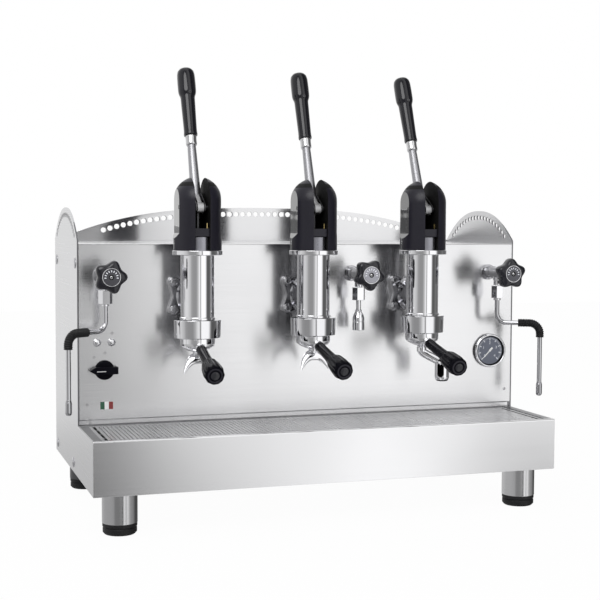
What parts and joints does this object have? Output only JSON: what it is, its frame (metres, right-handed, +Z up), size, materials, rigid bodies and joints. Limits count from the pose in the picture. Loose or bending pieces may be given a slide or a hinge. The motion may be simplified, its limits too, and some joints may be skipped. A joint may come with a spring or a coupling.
{
  "type": "lever espresso machine",
  "caption": "Countertop lever espresso machine: spring-piston groups, lock-in portafilters, swivelling steam wands, water tap, gauge and lift-out drip grid.",
  "frame": {"origin": "on the floor, under the middle of the machine's outline", "axes": "+Z up, -Y towards the barista, +X to the right as the barista faces the machine"},
  "size_m": [1.014, 0.6154, 0.8916],
  "materials": {
    "body_steel": "satin brushed stainless sheet",
    "tray_steel": "satin brushed stainless sheet",
    "foot_steel": "satin turned steel tube",
    "chrome": "polished chrome plating",
    "black_cover": "glossy black paint",
    "black_grip": "glossy black moulded plastic",
    "black_sleeve": "matt black rubber",
    "foot_rubber": "matt black rubber",
    "spring_steel": "oiled spring wire",
    "boiler_copper": "dull copper sheet",
    "dial": "dark grey-blue printed dial",
    "gauge_glass": "clear flat lens",
    "label": "printed sticker"
  },
  "bodies": {
    "root": {"side_panel_left": "body_steel", "side_panel_right": "body_steel", "gallery_rail": "body_steel", "splash_panel": "body_steel", "cup_shelf": "body_steel", "rear_panel": "body_steel", "front_apron": "tray_steel", "drip_basin": "tray_steel", "base_frame": "body_steel", "boiler": "boiler_copper", "foot_front_left": "foot_steel", "foot_front_right": "foot_steel", "foot_rear_left": "foot_steel", "foot_rear_right": "foot_steel", "steam_valve_left": "chrome", "steam_valve_right": "chrome", "water_tap": "chrome", "gauge_case": "chrome", "group_body_1": "chrome", "lock_collar_1": "chrome", "cover_1": "black_cover", "fulcrum_pin_1": "chrome", "main_spring_1": "spring_steel", "group_body_2": "chrome", "lock_collar_2": "chrome", "cover_2": "black_cover", "fulcrum_pin_2": "chrome", "main_spring_2": "spring_steel", "group_body_3": "chrome", "lock_collar_3": "chrome", "cover_3": "black_cover", "fulcrum_pin_3": "chrome", "main_spring_3": "spring_steel"},
    "drip_grid": {"drip_grid": "tray_steel"},
    "steam_knob_left": {"steam_knob_left": "black_grip"},
    "steam_knob_right": {"steam_knob_right": "black_grip"},
    "water_knob": {"water_knob": "black_grip"},
    "steam_wand_left": {"steam_wand_left": "chrome", "wand_sleeve_left": "black_sleeve"},
    "steam_wand_right": {"steam_wand_right": "chrome", "wand_sleeve_right": "black_sleeve"},
    "switch_knob": {"switch_knob": "black_grip"},
    "gauge_needle": {"gauge_needle": "label"},
    "push_button_left": {"push_button_left": "chrome"},
    "push_button_right": {"push_button_right": "chrome"},
    "lever_1": {"lever_1": "chrome", "lever_grip_1": "black_grip"},
    "piston_1": {"piston_1": "chrome"},
    "portafilter_1": {"portafilter_1": "chrome", "portafilter_handle_1": "black_grip"},
    "lever_2": {"lever_2": "chrome", "lever_grip_2": "black_grip"},
    "piston_2": {"piston_2": "chrome"},
    "portafilter_2": {"portafilter_2": "chrome", "portafilter_handle_2": "black_grip"},
    "lever_3": {"lever_3": "chrome", "lever_grip_3": "black_grip"},
    "piston_3": {"piston_3": "chrome"},
    "portafilter_3": {"portafilter_3": "chrome", "portafilter_handle_3": "black_grip"}
  },
  "joints": [
    {"name": "lever_1_swing", "type": "hinge", "parent": "root", "child": "lever_1", "pos_m": [-0.2471, -0.13126, 0.6123], "axis": [1, 0, 0], "range_deg": [0, 115], "stiffness_Nm_per_rad": 3, "springref_deg": -28.65},
    {"name": "piston_1_slide", "type": "slide", "parent": "root", "child": "piston_1", "axis": [0, 0, 1], "range_m": [0, 0.0382], "deforming": ["main_spring_1"]},
    {"name": "portafilter_1_turn", "type": "hinge", "parent": "root", "child": "portafilter_1", "pos_m": [-0.2471, -0.11226, 0.3593], "axis": [0, 0, 1], "range_deg": [-50, 0]},
    {"name": "lever_2_swing", "type": "hinge", "parent": "root", "child": "lever_2", "pos_m": [-0.0092, -0.13126, 0.6123], "axis": [1, 0, 0], "range_deg": [0, 115], "stiffness_Nm_per_rad": 3, "springref_deg": -28.65},
    {"name": "piston_2_slide", "type": "slide", "parent": "root", "child": "piston_2", "axis": [0, 0, 1], "range_m": [0, 0.0382], "deforming": ["main_spring_2"]},
    {"name": "portafilter_2_turn", "type": "hinge", "parent": "root", "child": "portafilter_2", "pos_m": [-0.0092, -0.11226, 0.3593], "axis": [0, 0, 1], "range_deg": [-50, 0]},
    {"name": "lever_3_swing", "type": "hinge", "parent": "root", "child": "lever_3", "pos_m": [0.2287, -0.13126, 0.6123], "axis": [1, 0, 0], "range_deg": [0, 115], "stiffness_Nm_per_rad": 3, "springref_deg": -28.65},
    {"name": "piston_3_slide", "type": "slide", "parent": "root", "child": "piston_3", "axis": [0, 0, 1], "range_m": [0, 0.0382], "deforming": ["main_spring_3"]},
    {"name": "portafilter_3_turn", "type": "hinge", "parent": "root", "child": "portafilter_3", "pos_m": [0.2287, -0.11226, 0.3593], "axis": [0, 0, 1], "range_deg": [-50, 0]},
    {"name": "steam_knob_left_turn", "type": "hinge", "parent": "root", "child": "steam_knob_left", "pos_m": [-0.4205, -0.13226, 0.4795], "axis": [0, -1, 0], "range_deg": [0, 540]},
    {"name": "steam_wand_left_swivel", "type": "hinge", "parent": "root", "child": "steam_wand_left", "pos_m": [-0.4205, -0.07426, 0.425], "axis": [0, 0, 1], "range_deg": [-36, 119]},
    {"name": "steam_knob_right_turn", "type": "hinge", "parent": "root", "child": "steam_knob_right", "pos_m": [0.4205, -0.13226, 0.4795], "axis": [0, -1, 0], "range_deg": [0, 540]},
    {"name": "steam_wand_right_swivel", "type": "hinge", "parent": "root", "child": "steam_wand_right", "pos_m": [0.4205, -0.07426, 0.425], "axis": [0, 0, 1], "range_deg": [-119, 36]},
    {"name": "water_knob_turn", "type": "hinge", "parent": "root", "child": "water_knob", "pos_m": [0.10261, -0.13226, 0.4795], "axis": [0, -1, 0], "range_deg": [0, 540]},
    {"name": "switch_turn", "type": "hinge", "parent": "root", "child": "switch_knob", "pos_m": [-0.415, -0.02726, 0.2918], "axis": [0, -1, 0], "range_deg": [-90, 0]},
    {"name": "gauge_needle_turn", "type": "hinge", "parent": "root", "child": "gauge_needle", "pos_m": [0.4266, -0.02726, 0.3081], "axis": [0, -1, 0], "range_deg": [-250, 0]},
    {"name": "push_button_left_press", "type": "slide", "parent": "root", "child": "push_button_left", "axis": [0, 1, 0], "range_m": [0, 0.0025], "stiffness_N_per_m": 400, "springref_m": -0.001},
    {"name": "push_button_right_press", "type": "slide", "parent": "root", "child": "push_button_right", "axis": [0, 1, 0], "range_m": [0, 0.0025], "stiffness_N_per_m": 400, "springref_m": -0.001},
    {"name": "drip_grid_lift", "type": "slide", "parent": "root", "child": "drip_grid", "axis": [0, 0, 1], "range_m": [0, 0.03]}
  ],
  "couplings": [
    {"joint": "piston_1_slide", "follows": "lever_1_swing", "m_per_rad": 0.019},
    {"joint": "piston_2_slide", "follows": "lever_2_swing", "m_per_rad": 0.019},
    {"joint": "piston_3_slide", "follows": "lever_3_swing", "m_per_rad": 0.019}
  ]
}
